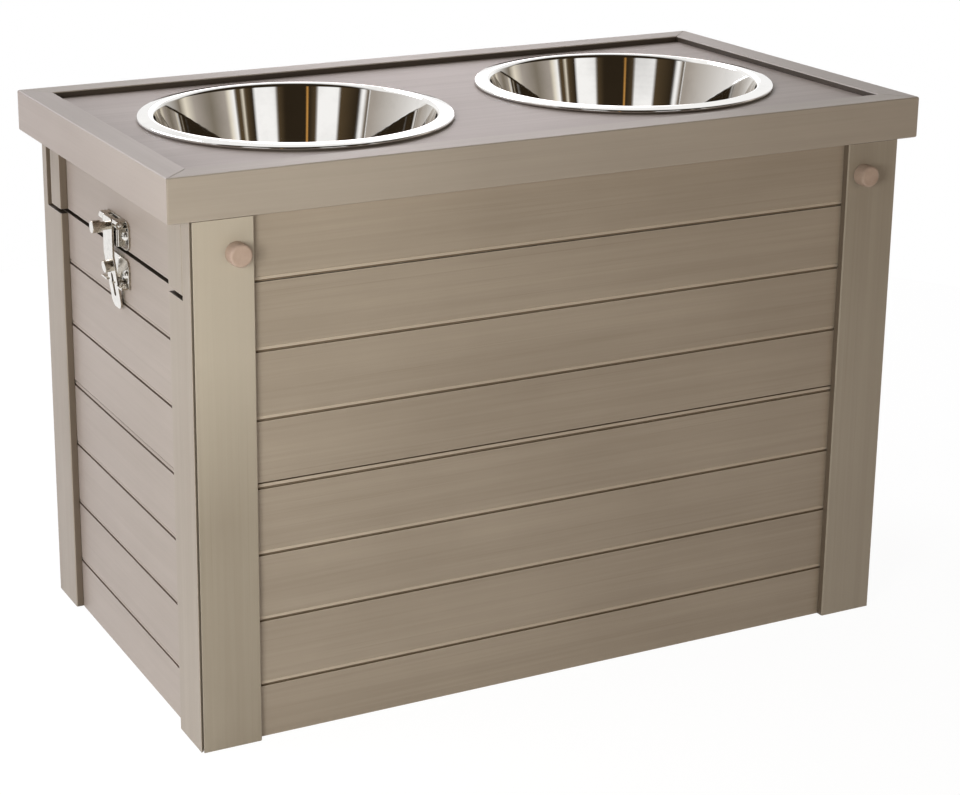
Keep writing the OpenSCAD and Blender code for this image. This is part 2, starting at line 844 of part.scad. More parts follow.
front_panel_lower();
front_panel_upper();
back_panel_lower();
back_panel_upper();
left_panel_lower();
left_panel_upper();
right_panel_lower();
right_panel_upper();
front_left_post_front();
front_left_post_side();
front_right_post_front();
front_right_post_side();
back_left_post_back();
back_left_post_side();
back_right_post_back();
back_right_post_side();
front_left_batten();
front_right_batten();
back_left_batten();
back_right_batten();
batten_screws();
floor_board();
front_floor_cleat();
back_floor_cleat();
left_floor_cleat();
right_floor_cleat();
left_peg();
right_peg();
left_keeper();
right_keeper();
keeper_screws();
tray_front_rail();
tray_back_rail();
tray_left_rail();
tray_right_rail();
top_panel();
front_top_cleat();
back_top_cleat();
left_lid_board();
right_lid_board();
front_left_cheek();
back_left_cheek();
front_right_cheek();
back_right_cheek();
left_hasp_plate();
right_hasp_plate();
hasp_screws();
left_hinge_pin();
right_hinge_pin();
left_latch_arm();
right_latch_arm();
left_arm_studs();
right_arm_studs();
left_bowl();
right_bowl();
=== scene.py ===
# %% [markdown]
# # An elevated dog feeder with storage
# This is a boarded box that stands on the floor. Its lid is a tray with two round holes, a steel bowl
# lies in each hole, and a small latch on each short side holds the lid down. Two round pegs stand out
# of the front posts. The solids come finished from the CAD model, in metres. Here each of them gets
# its surface: soft edges, grain, bright steel. We work in cells, as in a notebook, and look at what
# each cell prints before we go on.

# %% Load the solids
import json
import math
import bpy
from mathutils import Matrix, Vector


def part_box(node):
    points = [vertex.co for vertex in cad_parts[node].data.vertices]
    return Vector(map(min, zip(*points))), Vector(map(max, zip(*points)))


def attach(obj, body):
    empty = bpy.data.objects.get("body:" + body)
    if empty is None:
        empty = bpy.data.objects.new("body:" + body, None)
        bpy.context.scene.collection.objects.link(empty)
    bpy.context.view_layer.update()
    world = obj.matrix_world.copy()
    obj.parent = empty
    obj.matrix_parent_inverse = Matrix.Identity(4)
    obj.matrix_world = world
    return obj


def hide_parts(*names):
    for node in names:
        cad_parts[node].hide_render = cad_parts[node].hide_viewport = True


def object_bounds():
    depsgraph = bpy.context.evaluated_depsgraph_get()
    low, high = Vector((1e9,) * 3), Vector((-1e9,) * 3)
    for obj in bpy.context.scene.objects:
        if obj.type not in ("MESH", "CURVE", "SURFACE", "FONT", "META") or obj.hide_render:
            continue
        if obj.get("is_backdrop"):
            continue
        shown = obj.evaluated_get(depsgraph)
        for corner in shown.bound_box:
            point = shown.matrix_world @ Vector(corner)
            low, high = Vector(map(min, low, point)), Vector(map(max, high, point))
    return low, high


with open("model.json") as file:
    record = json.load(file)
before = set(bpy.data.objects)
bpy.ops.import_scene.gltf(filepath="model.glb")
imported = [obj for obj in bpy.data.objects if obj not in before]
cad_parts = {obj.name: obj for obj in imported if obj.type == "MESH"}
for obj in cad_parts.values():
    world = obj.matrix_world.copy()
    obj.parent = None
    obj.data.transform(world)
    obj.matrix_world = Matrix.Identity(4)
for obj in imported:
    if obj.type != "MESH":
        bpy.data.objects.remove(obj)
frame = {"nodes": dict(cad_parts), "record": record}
cad_low, cad_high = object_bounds()
print("nodes:", len(frame["nodes"]), "box:", tuple(cad_low), tuple(cad_high))

# %% [markdown]
# ## The camera
# A camera can be placed by eye, but then nothing can be measured in the picture. This one was worked
# out from corners of the real feeder: it stands to the left, a little above the tray, and its lens is
# long, so the boards' lines hardly converge. The small shift frames the picture without turning the
# camera, as an architect's lens does.

# %% Place the camera
picture_w, picture_h = 960, 795
focal_px = 2266.0
middle_x, middle_y = 380.0, 290.0
film_w = 36
looks_down, looks_right = 16.4, 25.81
bpy.ops.object.camera_add(
    location=(-0.8024, -1.50485, 0.7636),
    rotation=(math.radians(90 - looks_down), 0, math.radians(-looks_right)),
)
camera = bpy.context.object
camera.data.sensor_width = film_w
camera.data.lens = focal_px / picture_w * film_w
camera.data.shift_x = (picture_w / 2 - middle_x) / picture_w
camera.data.shift_y = (middle_y - picture_h / 2) / picture_w
bpy.context.scene.camera = camera
bpy.context.scene.view_settings.view_transform = "Standard"
print("lens", round(camera.data.lens, 1), "mm")

# %% [markdown]
# ## Small helpers for shaders
# A material is a chain of nodes. Written out one by one they fill pages, so we first make short
# helpers. One adds a node and sets its values, and one joins two sockets. The others build the steps
# that come up again and again: a sum or product, a value brought to a new range, a mix of two colours
# and a blend of two surfaces. Colours are written as in a paint program, 0 to 255, and turned into
# the linear light that the renderer counts in.

# %% Helpers for node trees
def add_node(tree, kind, values=None, **settings):
    node = tree.nodes.new(kind)
    for key, value in settings.items():
        setattr(node, key, value)
    for key, value in (values or {}).items():
        node.inputs[key].default_value = value
    return node


def join(tree, start, end):
    tree.links.new(start, end)


def plug(tree, value, socket):
    if hasattr(value, "links"):
        join(tree, value, socket)
    else:
        socket.default_value = value


def maths(tree, kind, first, second):
    node = add_node(tree, "ShaderNodeMath", operation=kind)
    plug(tree, first, node.inputs[0])
    plug(tree, second, node.inputs[1])
    return node.outputs[0]


def ranged(tree, value, low, high, bottom, top):
    node = add_node(tree, "ShaderNodeMapRange", values={1: low, 2: high, 3: bottom, 4: top})
    join(tree, value, node.inputs[0])
    return node.outputs[0]


def mixed(tree, share, first, second):
    node = add_node(tree, "ShaderNodeMix", data_type="RGBA")
    for number, value in ((0, share), (6, first), (7, second)):
        plug(tree, value, node.inputs[number])
    return node.outputs[2]


def blended(tree, share, first, second):
    node = add_node(tree, "ShaderNodeMixShader")
    for number, output in enumerate((share, first, second)):
        join(tree, output, node.inputs[number])
    return node.outputs[0]


def paint(red, green, blue):
    def linear(c):
        c = c / 255
        return c / 12.92 if c <= 0.04045 else ((c + 0.055) / 1.055) ** 2.4

    return (linear(red), linear(green), linear(blue), 1)


print("board colour in linear light:", [round(c, 3) for c in paint(170, 157, 142)[:3]])

# %% [markdown]
# ## Floor and surroundings
# The feeder stands in a white studio. A white floor lit by lamps is never quite white, and more light
# would wash out the boards. So the round floor is plain and pale for the light that bounces off it,
# and mostly shines by itself for what the camera and the metal see. A little of its real shading is
# kept, so the box throws a soft shadow. The world does the same: white for the camera, and a weak
# warm light that fills the shadows. For reflections it is a ring of upright screens, white, brown and
# dark, with one narrow strip the colour of a flame. Over them hangs a dark ceiling that turns white
# towards the back, and the ground beyond the floor is white there too. Polished steel shows nothing
# but its surroundings, so without the dark screens the bowls would look like paper.

# %% Make the floor
floor_r, floor_share, floor_shine = 1.1, 0.86, 1.1
bpy.ops.object.select_all(action="DESELECT")
bpy.ops.mesh.primitive_circle_add(
    vertices=128, radius=floor_r, fill_type="NGON", location=(0, 0, 0)
)
floor = bpy.context.object
floor.name = "studio_floor"
floor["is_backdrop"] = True
floor_paint = bpy.data.materials.new("studio_floor_paint")
floor_paint.use_nodes = True
tree = floor_paint.node_tree
tree.nodes.clear()
rays = add_node(tree, "ShaderNodeLightPath").outputs
seen = maths(tree, "MAXIMUM", rays["Is Camera Ray"], rays["Is Glossy Ray"])
seen_too = maths(tree, "MAXIMUM", seen, rays["Is Transmission Ray"])
share = maths(tree, "MULTIPLY", seen_too, floor_share)
plain = add_node(tree, "ShaderNodeBsdfDiffuse", values={"Color": (0.80, 0.79, 0.77, 1)})
shine = add_node(
    tree, "ShaderNodeEmission", values={"Color": (1, 1, 1, 1), "Strength": floor_shine}
)
out = add_node(tree, "ShaderNodeOutputMaterial")
join(tree, blended(tree, share, plain.outputs[0], shine.outputs[0]), out.inputs["Surface"])
floor.data.materials.append(floor_paint)
print("floor", tuple(floor.dimensions))

# %% Make the world
world = bpy.data.worlds.new("white_studio")
bpy.context.scene.world = world
world.use_nodes = True
tree = world.node_tree
tree.nodes.clear()
direction = add_node(tree, "ShaderNodeTexCoord").outputs["Generated"]
round_about = add_node(tree, "ShaderNodeTexGradient", gradient_type="RADIAL")
join(tree, direction, round_about.inputs["Vector"])
screens = add_node(tree, "ShaderNodeValToRGB")
stops = screens.color_ramp
white, cream, smoke = (1, 1, 1, 1), (0.80, 0.74, 0.62, 1), (0.40, 0.36, 0.32, 1)
haze, flame = (0.22, 0.19, 0.15, 1), (0.90, 0.45, 0.11, 1)
brown, dark = (0.085, 0.058, 0.030, 1), (0.026, 0.018, 0.010, 1)
marks = [
    (0.000, white), (0.004, brown), (0.010, smoke), (0.014, white), (0.021, white), (0.028, dark),
    (0.076, brown), (0.081, white), (0.130, white), (0.134, brown), (0.153, dark), (0.1555, flame),
    (0.158, dark), (0.210, dark), (0.229, brown), (0.235, white), (0.283, white), (0.288, dark),
    (0.308, brown), (0.313, cream), (0.319, brown), (0.331, brown), (0.336, white), (0.350, cream),
    (0.358, smoke), (0.400, haze), (0.450, smoke), (0.478, cream), (0.500, haze), (0.600, white),
    (0.800, white), (0.990, smoke),
]
stops.elements[0].position, stops.elements[0].color = marks[0]
stops.elements[1].position, stops.elements[1].color = marks[-1]
for place, colour in marks[1:-1]:
    stops.elements.new(place).color = colour
join(tree, round_about.outputs["Color"], screens.inputs["Fac"])
split = add_node(tree, "ShaderNodeSeparateXYZ")
join(tree, direction, split.inputs[0])
above = ranged(tree, split.outputs["Z"], 0.31, 0.42, 0.0, 1.0)
below = ranged(tree, split.outputs["Z"], -0.03, -0.08, 0.0, 1.0)
behind = ranged(tree, split.outputs["Y"], -0.10, 0.20, 0.0, 1.0)
ceiling = mixed(tree, behind, dark, white)
back_floor = maths(tree, "MULTIPLY", behind, below)
with_floor = mixed(tree, back_floor, screens.outputs["Color"], white)
overhead = mixed(tree, above, with_floor, ceiling)
mirror_light = add_node(tree, "ShaderNodeBackground", values={"Strength": 1.0})
join(tree, overhead, mirror_light.inputs["Color"])
seen_light = add_node(tree, "ShaderNodeBackground", values={"Color": white, "Strength": 1.0})
warm_white, fill_level = (1.0, 0.95, 0.87, 1), 0.10
fill_light = add_node(
    tree, "ShaderNodeBackground", values={"Color": warm_white, "Strength": fill_level}
)
rays = add_node(tree, "ShaderNodeLightPath").outputs
in_metal = maths(tree, "MAXIMUM", rays["Is Glossy Ray"], rays["Is Transmission Ray"])
for_mirrors = blended(tree, in_metal, fill_light.outputs[0], mirror_light.outputs[0])
for_camera = blended(tree, rays["Is Camera Ray"], for_mirrors, seen_light.outputs[0])
out = add_node(tree, "ShaderNodeOutputWorld")
join(tree, for_camera, out.inputs["Surface"])
print("screens round the studio:", len(stops.elements))

# %% [markdown]
# ## Lamps
# In the photograph the left side and the tray are bright, and the front gets darker from left to
# right. A small white lamp near the left front corner does that: near lamps fade over the width of
# the object, far ones don't. A warm one lifts the right end. Cool ones at the side and behind do
# what the white walls of the studio do: they cool the side and the tray and throw the bowls' rims'
# shadows forward. The three lamps near the camera are hidden from the metal, which mirrors the
# screens there. The two behind stay, because their sheen on the tray is half of its brightness.

# %% Place the lamps
def soft_lamp(name, place, target, size, power, colour, in_mirrors=False):
    bpy.ops.object.light_add(type="AREA", location=place)
    lamp = bpy.context.object
    lamp.name = name
    lamp.data.shape = "DISK"
    lamp.data.size = size
    lamp.data.energy = power
    lamp.data.color = colour
    lamp.visible_glossy = in_mirrors
    lamp.rotation_euler = (Vector(target) - Vector(place)).to_track_quat("-Z", "Y").to_euler()
    return lamp


lamps = [
    soft_lamp("corner_lamp", (-0.75, -0.75, 0.5), (-0.15, -0.05, 0.25), 0.4, 5.0,
              (0.98, 1.0, 0.965)),
    soft_lamp("warm_lamp", (0.6, -1.7, 0.6), (0, 0, 0.2), 0.9, 4.7,
              (1.0, 0.84, 0.69)),
    soft_lamp("side_lamp", (-1.9, 0.35, 0.55), (-0.3, 0, 0.2), 0.9, 11.2,
              (0.90, 0.855, 1.0)),
    soft_lamp("back_lamp", (-0.7, 1.5, 1.7), (0, 0, 0.4), 1.0, 23.5,
              (0.87, 0.90, 1.0), in_mirrors=True),
    soft_lamp("low_back_lamp", (0.8, 1.7, 1.1), (0, 0, 0.4), 1.0, 4.6,
              (1.0, 0.90, 0.93), in_mirrors=True),
]
for lamp in lamps:
    print(lamp.name, lamp.data.energy, "W")

# %% [markdown]
# ## Grain
# The boards are moulded from wood and polymer. Up close they show long fine streaks in the direction
# of the board, and slow cloudy changes over a hand's width. Both are noise, one stretched a hundred
# times along the board and one not. All the boards use it, so it is a node group of its own. It
# expects the board to run along X, and each material turns the board's own coordinates to suit.

# %% Build the grain group
def group_of(name, inputs, outputs):
    group = bpy.data.node_groups.new(name, "ShaderNodeTree")
    for title, kind in inputs:
        group.interface.new_socket(title, in_out="INPUT", socket_type=kind)
    for title, kind in outputs:
        group.interface.new_socket(title, in_out="OUTPUT", socket_type=kind)
    return group, group.nodes.new("NodeGroupInput"), group.nodes.new("NodeGroupOutput")


def streak_noise(tree, point, stretch, detail, rough):
    stretched = add_node(tree, "ShaderNodeMapping", values={"Scale": stretch})
    noise = add_node(
        tree, "ShaderNodeTexNoise", values={"Scale": 1.0, "Detail": detail, "Roughness": rough}
    )
    join(tree, point, stretched.inputs["Vector"])
    join(tree, stretched.outputs["Vector"], noise.inputs["Vector"])
    return noise.outputs["Fac"]


grain, grain_in, grain_out = group_of(
    "board_grain",
    [("Point", "NodeSocketVector"), ("Light", "NodeSocketColor"), ("Dark", "NodeSocketColor"),
     ("Streaks", "NodeSocketFloat")],
    [("Color", "NodeSocketColor"), ("Roughness", "NodeSocketFloat"), ("Height", "NodeSocketFloat")],
)
point = grain_in.outputs["Point"]
streaks = grain_in.outputs["Streaks"]
long_noise = streak_noise(grain, point, (1.6, 70, 70), 5, 0.62)
fine_noise = streak_noise(grain, point, (7, 420, 420), 3, 0.55)
cloud_noise = streak_noise(grain, point, (5, 9, 9), 4, 0.5)
hair_noise = streak_noise(grain, point, (3.5, 900, 900), 2, 0.5)
long_lines = maths(grain, "MULTIPLY", ranged(grain, long_noise, 0.30, 0.70, 0, 1), 0.6)
fine_lines = maths(grain, "MULTIPLY", ranged(grain, fine_noise, 0.30, 0.70, 0, 1), 0.4)
lines = maths(grain, "ADD", long_lines, fine_lines)
clouds = ranged(grain, cloud_noise, 0.30, 0.70, 0, 1)
hairs = maths(grain, "MULTIPLY", ranged(grain, hair_noise, 0.62, 0.74, 0, 1), 0.5)
lines_share = maths(grain, "MULTIPLY", lines, streaks)
cloud_share = maths(grain, "MULTIPLY", clouds, 0.35)
hair_share = maths(grain, "MULTIPLY", hairs, streaks)
depth = maths(grain, "ADD", maths(grain, "ADD", lines_share, cloud_share), hair_share)
board_colour = mixed(grain, depth, grain_in.outputs["Light"], grain_in.outputs["Dark"])
join(grain, board_colour, grain_out.inputs["Color"])
join(grain, ranged(grain, depth, 0.0, 1.2, 0.40, 0.56), grain_out.inputs["Roughness"])
join(grain, maths(grain, "SUBTRACT", 1.0, lines), grain_out.inputs["Height"])
print("grain group:", len(grain.nodes), "nodes")

# %% [markdown]
# ## Worn edges
# Every edge is rubbed a little paler, here more and there less. A Bevel node gives the normal that a
# rounded edge would have. Where that differs from the face's own normal, an edge is near. Painting
# the wear by hand would also work, but it would have to be done again for every board.

# %% Build the edge group
edges, edges_in, edges_out = group_of(
    "worn_edges",
    [("Color", "NodeSocketColor"), ("Worn", "NodeSocketColor"), ("Amount", "NodeSocketFloat"),
     ("Point", "NodeSocketVector")],
    [("Color", "NodeSocketColor")],
)
face = add_node(edges, "ShaderNodeNewGeometry")
rounded = add_node(edges, "ShaderNodeBevel", values={"Radius": 0.0016}, samples=4)
facing = add_node(edges, "ShaderNodeVectorMath", operation="DOT_PRODUCT")
join(edges, face.outputs["Normal"], facing.inputs[0])
join(edges, rounded.outputs["Normal"], facing.inputs[1])
near_edge = ranged(edges, facing.outputs["Value"], 0.995, 0.86, 0.0, 1.0)
rub_noise = streak_noise(edges, edges_in.outputs["Point"], (45, 45, 45), 4, 0.6)
patches = ranged(edges, rub_noise, 0.35, 0.62, 0.15, 1.0)
rubbed = maths(edges, "MULTIPLY", near_edge, patches)
worn_share = maths(edges, "MULTIPLY", rubbed, edges_in.outputs["Amount"])
worn_colour = mixed(edges, worn_share, edges_in.outputs["Color"], edges_in.outputs["Worn"])
join(edges, worn_colour, edges_out.inputs["Color"])
print("edge group:", len(edges.nodes), "nodes")

# %% [markdown]
# ## Board materials
# The same board is used lying (grain along X), standing (along Z) and across the sides (along Y). The
# tray is the palest. The left front post is painted paler towards its top, a painted light. The slits
# between the boards, the board ends and the faces that turn inwards are painted darker, a painted
# shade, and the beads paler, a painted highlight. So there is one function that makes a board material
# from a direction, two colours and a strength, and that can paint it paler from a given height up.

# %% Make the board materials
turn_for = {"X": (0, 0, 0), "Y": (0, 0, math.radians(90)), "Z": (0, math.radians(90), 0)}
# The first number is how much paler worn edges get. The other two set the painted light on a post's
# top: how much paler it is painted, and over what height.
worn_step, painted_light_step, fade_h = 26, 40, 0.12


def paler(colour, step):
    return paint(*[min(255, c + step) for c in colour])


def board_material(name, along, light, dark, streaks, worn=0.35, bump=0.12, painted_light_from=None):
    material = bpy.data.materials.new(name)
    material.use_nodes = True
    tree = material.node_tree
    surface = tree.nodes["Principled BSDF"]
    place = add_node(tree, "ShaderNodeTexCoord")
    turn = add_node(tree, "ShaderNodeMapping", values={"Rotation": turn_for[along]})
    pattern = add_node(tree, "ShaderNodeGroup", node_tree=grain)
    wear = add_node(tree, "ShaderNodeGroup", node_tree=edges)
    for key, value in (("Light", paint(*light)), ("Dark", paint(*dark)), ("Streaks", streaks)):
        pattern.inputs[key].default_value = value
    wear.inputs["Worn"].default_value = paler(light, worn_step)
    wear.inputs["Amount"].default_value = worn
    join(tree, place.outputs["Object"], turn.inputs["Vector"])
    join(tree, turn.outputs["Vector"], pattern.inputs["Point"])
    join(tree, turn.outputs["Vector"], wear.inputs["Point"])
    join(tree, pattern.outputs["Color"], wear.inputs["Color"])
    tone = wear.outputs["Color"]
    # Painted light: from a given height up, the colour fades half way to a paler tone.
    if painted_light_from:
        split = add_node(tree, "ShaderNodeSeparateXYZ")
        join(tree, place.outputs["Object"], split.inputs[0])
        share = ranged(tree, split.outputs["Z"], painted_light_from, painted_light_from + fade_h, 0, 0.5)
        tone = mixed(tree, share, tone, paler(light, painted_light_step))
    join(tree, tone, surface.inputs["Base Color"])
    join(tree, pattern.outputs["Roughness"], surface.inputs["Roughness"])
    relief = add_node(tree, "ShaderNodeBump", values={"Strength": bump, "Distance": 0.0006})
    join(tree, pattern.outputs["Height"], relief.inputs["Height"])
    join(tree, relief.outputs["Normal"], surface.inputs["Normal"])
    return material


board_lying = board_material("board_lying", "X", (176, 162, 145), (140, 126, 110), 0.42)
board_across = board_material("board_across", "Y", (180, 168, 155), (152, 140, 127), 0.30)
board_standing = board_material("board_standing", "Z", (171, 160, 144), (143, 130, 114), 0.34, 0.45)
# A material whose top is painted paler, a painted light for the front left post.
post_painted_light = board_material(
    "post_painted_light", "Z", (168, 157, 140), (140, 127, 110), 0.34, 0.45, painted_light_from=0.17
)
tray_lying = board_material("tray_lying", "X", (182, 170, 156), (156, 144, 131), 0.36, 0.45)
tray_across = board_material("tray_across", "Y", (184, 172, 160), (160, 148, 137), 0.28, 0.45)
panel_lying = board_material("panel_lying", "X", (180, 166, 155), (154, 140, 130), 0.45, 0.2)
# The next five tones are painted light and shade: dark ones for the board ends, the faces that turn
# inwards and the slits, where shade falls, and a pale one for the beads, a painted highlight.
painted_shade_edge = board_material("painted_shade_edge", "X", (84, 73, 62), (56, 48, 40), 0.5, 0.15)
inner_edge = board_material("inner_edge", "Z", (122, 108, 93), (102, 89, 76), 0.4, 0.15)
front_slit_shade = board_material("front_slit_shade", "X", (132, 114, 92), (108, 92, 73), 0.4, 0.1)
side_slit_shade = board_material("side_slit_shade", "Y", (132, 116, 104), (112, 97, 86), 0.4, 0.1)
bead = board_material("bead", "X", (204, 190, 172), (178, 163, 146), 0.4, 0.3)
inside_board = board_material("inside_board", "X", (158, 145, 130), (120, 108, 96), 0.5, 0.2)
inside_standing = board_material("inside_standing", "Z", (158, 145, 130), (120, 108, 96), 0.5, 0.2)
print("materials so far:", len(bpy.data.materials))

# %% [markdown]
# ## Metal and plastic
# The bowls are polished steel: almost a mirror, with fine rings from the spinning lathe. The latch is
# plated, a little duller, with small dull spots where hands and rain have been. The pegs are matt
# plastic of a pinker colour than the boards.

# %% Make the metals and the plastic
def metal_material(name, colour, low, high, spots, rings_at=None):
    material = bpy.data.materials.new(name)
    material.use_nodes = True
    tree = material.node_tree
    surface = tree.nodes["Principled BSDF"]
    surface.inputs["Metallic"].default_value = 1.0
    place = add_node(tree, "ShaderNodeTexCoord")
    dull = streak_noise(tree, place.outputs["Object"], (spots, spots, spots), 5, 0.6)
    spot_colour = tuple(c * 0.86 for c in colour[:3]) + (1,)
    tone = mixed(tree, ranged(tree, dull, 0.45, 0.75, 0, 1), colour, spot_colour)
    join(tree, tone, surface.inputs["Base Color"])
    roughness = ranged(tree, dull, 0.35, 0.75, low, high)
    join(tree, roughness, surface.inputs["Roughness"])
    if rings_at:
        to_middle = (-rings_at[0], -rings_at[1], 0)
        centre = add_node(tree, "ShaderNodeMapping", values={"Location": to_middle})
        rings = add_node(
            tree, "ShaderNodeTexWave", values={"Scale": 260.0, "Distortion": 1.5, "Detail": 2.0},
            wave_type="RINGS", rings_direction="Z",
        )
        relief = add_node(tree, "ShaderNodeBump", values={"Strength": 0.012, "Distance": 0.0001})
        join(tree, place.outputs["Object"], centre.inputs["Vector"])
        join(tree, centre.outputs["Vector"], rings.inputs["Vector"])
        join(tree, rings.outputs["Fac"], relief.inputs["Height"])
        join(tree, relief.outputs["Normal"], surface.inputs["Normal"])
    return material


bowl_places = {}
for bowl in ("left_bowl", "right_bowl"):
    low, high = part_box(bowl)
    bowl_places[bowl] = (low + high) / 2
bowl_steel = {
    bowl: metal_material(bowl + "_steel", (0.90, 0.885, 0.86, 1), 0.02, 0.06, 22, middle)
    for bowl, middle in bowl_places.items()
}
plated_steel = metal_material("plated_steel", (0.80, 0.775, 0.735, 1), 0.08, 0.18, 260)
screw_steel = metal_material("screw_steel", (0.80, 0.78, 0.74, 1), 0.14, 0.30, 420)
# A darker brownish copy of the steel for the latch's faces that turn aside and the knob's and stud's
# sides: a painted dark reflection.
bar_steel = metal_material("bar_steel", (0.50, 0.45, 0.37, 1), 0.22, 0.36, 300)
inner_screw_steel = metal_material("inner_screw_steel", (0.60, 0.59, 0.57, 1), 0.25, 0.5, 420)

peg_plastic = bpy.data.materials.new("peg_plastic")
peg_plastic.use_nodes = True
tree = peg_plastic.node_tree
surface = tree.nodes["Principled BSDF"]
place = add_node(tree, "ShaderNodeTexCoord")
clouds = streak_noise(tree, place.outputs["Object"], (60, 60, 60), 4, 0.6)
pores = streak_noise(tree, place.outputs["Object"], (1500, 1500, 1500), 2, 0.5)
cloud_share = ranged(tree, clouds, 0.3, 0.7, 0, 1)
colour = mixed(tree, cloud_share, paint(194, 171, 155), paint(172, 148, 132))
wear = add_node(tree, "ShaderNodeGroup", node_tree=edges)
wear.inputs["Worn"].default_value = paint(205, 186, 172)
wear.inputs["Amount"].default_value = 0.4
join(tree, place.outputs["Object"], wear.inputs["Point"])
join(tree, colour, wear.inputs["Color"])
join(tree, wear.outputs["Color"], surface.inputs["Base Color"])
join(tree, ranged(tree, clouds, 0.3, 0.7, 0.42, 0.58), surface.inputs["Roughness"])
relief = add_node(tree, "ShaderNodeBump", values={"Strength": 0.1, "Distance": 0.0003})
join(tree, pores, relief.inputs["Height"])
join(tree, relief.outputs["Normal"], surface.inputs["Normal"])
print("metals and plastic ready")

# %% [markdown]
# ## Boards with soft edges
# A CAD board has edges as sharp as glass, and real ones never do: a small round catches a line of
# light, and that line is what the eye reads as thickness. We copy the board's mesh, merge its loose
# triangles into whole faces, and let a Bevel modifier round the edges. The solid itself stays as it
# is for everything that measures, and the copy stands for it in the picture. Then each face is asked
# a few questions: does it lie in a slit, on a bead, at an end, or does it turn inwards? The answer
# picks its material: painted shade in the slits, on the ends and on inward faces, and a painted
# highlight on the beads. Under the lamps in front, the wall's grooves would hardly show without them.

# %% Soften the boards
def alone(piece):
    if bpy.context.mode != "OBJECT":
        bpy.ops.object.mode_set(mode="OBJECT")
    bpy.ops.object.select_all(action="DESELECT")
    bpy.context.view_layer.objects.active = piece
    if piece:
        piece.select_set(True)


def smooth(piece, degrees):
    alone(piece)
    bpy.ops.object.shade_smooth_by_angle(angle=math.radians(degrees))


def rounded_edges(piece, width, segments=2, limit=28):
    alone(piece)
    bevel = piece.modifiers.new("soft_edges", "BEVEL")
    bevel.width, bevel.segments = width, segments
    bevel.limit_method, bevel.angle_limit = "ANGLE", math.radians(limit)
    bpy.ops.object.modifier_apply(modifier="soft_edges")
    smooth(piece, 32)
    flat = piece.modifiers.new("flat_faces", "WEIGHTED_NORMAL")
    flat.weight, flat.keep_sharp = 100, True
    bpy.ops.object.modifier_apply(modifier="flat_faces")


def body_of(node):
    for body, members in frame["record"]["behaviour"]["bodies"].items():
        if node in members:
            return body


straight, slit_h, lid_h = 0.9, 0.0017, 0.32


def turns_down_or_up(face):
    return abs(face.normal.z) > straight


def looks_into_the_tray(face):
    flat = Vector((face.center.x, face.center.y, 0))
    return abs(face.normal.z) < 0.3 and face.normal.dot(flat) < -0.05


def on_top(face):
    return face.normal.z > straight and face.center.z > lid_h


def in_a_slit(face):
    heights = [face.id_data.vertices[i].co.z for i in face.vertices]
    narrow = max(heights) - min(heights) < slit_h and abs(face.normal.z) < 0.1
    return turns_down_or_up(face) or narrow


def on_a_bead(face):
    return 0.2 < face.normal.z < 0.7


def looks_inwards(face):
    board = face.id_data.name
    across = 0 if "_post_front" in board or "_post_back" in board else 1
    return face.normal[across] * face.center[across] < 0 and abs(face.normal[across]) > straight


def coloured(piece, material, tones=()):
    piece.data.materials.clear()
    for look in [material] + [tone for tone, test in tones]:
        piece.data.materials.append(look)
    for face in piece.data.polygons:
        slots = [slot for slot, (tone, test) in enumerate(tones, 1) if test(face)]
        face.material_index = slots[0] if slots else 0


def finished(piece, node, material, tones=()):
    coloured(piece, material, tones)
    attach(piece, body_of(node))
    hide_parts(node)


def softened(node, width, material, tones):
    piece = bpy.data.objects.new(node + "_soft", frame["nodes"][node].data.copy())
    piece.data.name = node + "_soft"
    bpy.context.scene.collection.objects.link(piece)
    alone(piece)
    bpy.ops.object.mode_set(mode="EDIT")
    bpy.ops.mesh.select_all(action="SELECT")
    bpy.ops.mesh.remove_doubles(threshold=0.00001)
    bpy.ops.mesh.dissolve_limited(angle_limit=math.radians(0.5))
    bpy.ops.object.mode_set(mode="OBJECT")
    rounded_edges(piece, width)
    finished(piece, node, material, tones)


# Painted light and shade by face: dark tones on ends, slits and faces that turn inwards, a pale one on
# beads.
front_tones = [(painted_shade_edge, on_top), (front_slit_shade, in_a_slit), (bead, on_a_bead)]
side_tones = [(painted_shade_edge, on_top), (side_slit_shade, in_a_slit)]
post_tones = [(painted_shade_edge, turns_down_or_up), (inner_edge, looks_inwards)]
lid_tones, tray_tones = [(painted_shade_edge, turns_down_or_up)], [(painted_shade_edge, looks_into_the_tray)]
soft_boards = {
    "tray_front_rail": (0.0007, tray_lying, tray_tones),
    "tray_back_rail": (0.0007, tray_lying, tray_tones),
    "tray_left_rail": (0.0007, tray_across, tray_tones),
    "tray_right_rail": (0.0007, tray_across, tray_tones),
    "left_lid_board": (0.0006, board_across, lid_tones),
    "right_lid_board": (0.0006, board_across, lid_tones),
    "top_panel": (0.0005, panel_lying, []),
}
for node in frame["nodes"]:
    if "_post_" in node or node.endswith("_cheek"):
        soft_boards[node] = (0.0006, board_standing, post_tones)
    elif node.startswith(("front_panel", "back_panel")):
        soft_boards[node] = (0.0003, board_lying, front_tones)
    elif node.startswith(("left_panel", "right_panel")):
        soft_boards[node] = (0.0003, board_across, side_tones)
# The front left post gets the material with the painted lighter top.
soft_boards["front_left_post_front"] = (0.0006, post_painted_light, post_tones)
for node, look in soft_boards.items():
    softened(node, *look)
print("soft boards:", len(soft_boards))

# %% Dress the boards inside
for name, node in frame["nodes"].items():
    if name == "batten_screws":
        coloured(node, inner_screw_steel)
    elif name.endswith("_batten"):
        coloured(node, inside_standing)
    elif "cleat" in name or name == "floor_board":
        coloured(node, inside_board)
print("inside boards dressed")

